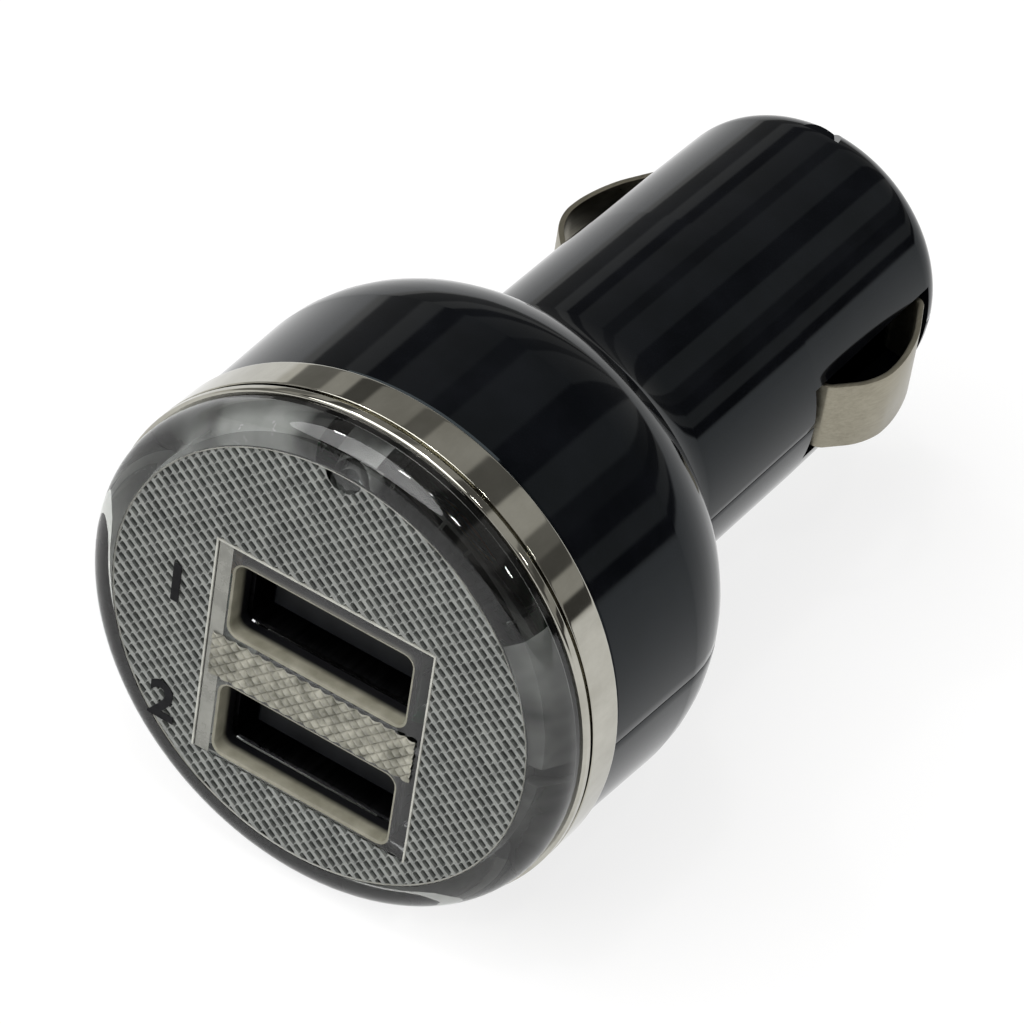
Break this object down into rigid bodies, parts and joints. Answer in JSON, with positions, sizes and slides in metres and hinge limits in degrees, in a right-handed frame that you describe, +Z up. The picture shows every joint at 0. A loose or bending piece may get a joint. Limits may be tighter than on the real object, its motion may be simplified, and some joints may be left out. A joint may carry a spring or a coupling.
{
  "type": "car usb charger plug",
  "caption": "Plug for a car's round power socket: glossy black shell, clear textured face with stacked USB sockets, bright trim ring, sprung side strips and a sprung tip.",
  "frame": {"origin": "on the plug's axis, where the straight barrel starts behind the head", "axes": "+Y along the plug's axis from the face to the tip, X along the USB slots and through the side strips, +Z up"},
  "size_m": [0.0354, 0.0617, 0.0354],
  "materials": {
    "clear_lens": "clear moulded plastic, fine texture on the back",
    "chrome_trim": "bright plated",
    "black_gloss": "glossy moulded",
    "board_green": "solder mask",
    "ferrite_grey": "matt ferrite",
    "copper_wire": "enamelled copper",
    "can_sleeve": "shrink sleeve",
    "chip_black": "moulded",
    "ceramic_tan": "ceramic",
    "led_clear": "clear epoxy",
    "contact_nickel": "nickel plated",
    "spring_steel": "bright wire",
    "pin_brass": "gold flash",
    "lead_black": "wire sleeve",
    "usb_nickel": "nickel plated sheet",
    "tongue_black": "moulded"
  },
  "bodies": {
    "housing": {"lens_cover": "clear_lens", "trim_ring": "chrome_trim", "upper_shell": "black_gloss", "lower_shell": "black_gloss", "main_board": "board_green", "choke_core": "ferrite_grey", "choke_winding": "copper_wire", "input_capacitor": "can_sleeve", "output_capacitor": "can_sleeve", "converter_chip": "chip_black", "rectifier_diode": "chip_black", "chip_resistors": "chip_black", "chip_capacitors": "ceramic_tan", "indicator_led": "led_clear", "tip_spring": "spring_steel", "positive_terminal": "pin_brass", "ground_leads": "lead_black", "usb_shell_upper": "usb_nickel", "usb_shell_lower": "usb_nickel", "usb_insulator_upper": "tongue_black", "usb_insulator_lower": "tongue_black", "usb_pins_upper": "pin_brass", "usb_pins_lower": "pin_brass"},
    "right_contact": {"side_contact_right": "contact_nickel"},
    "left_contact": {"side_contact_left": "contact_nickel"},
    "tip": {"tip_contact": "contact_nickel"}
  },
  "joints": [
    {"name": "right_contact_press", "type": "slide", "parent": "housing", "child": "right_contact", "axis": [-1, 0, 0], "range_m": [0, 0.0027], "stiffness_N_per_m": 1500, "springref_m": -0.0005},
    {"name": "left_contact_press", "type": "slide", "parent": "housing", "child": "left_contact", "axis": [1, 0, 0], "range_m": [0, 0.0027], "stiffness_N_per_m": 1500, "springref_m": -0.0005},
    {"name": "tip_press", "type": "slide", "parent": "housing", "child": "tip", "axis": [0, -1, 0], "range_m": [0, 0.003], "stiffness_N_per_m": 1200, "springref_m": -0.001, "deforming": ["tip_spring"]}
  ]
}
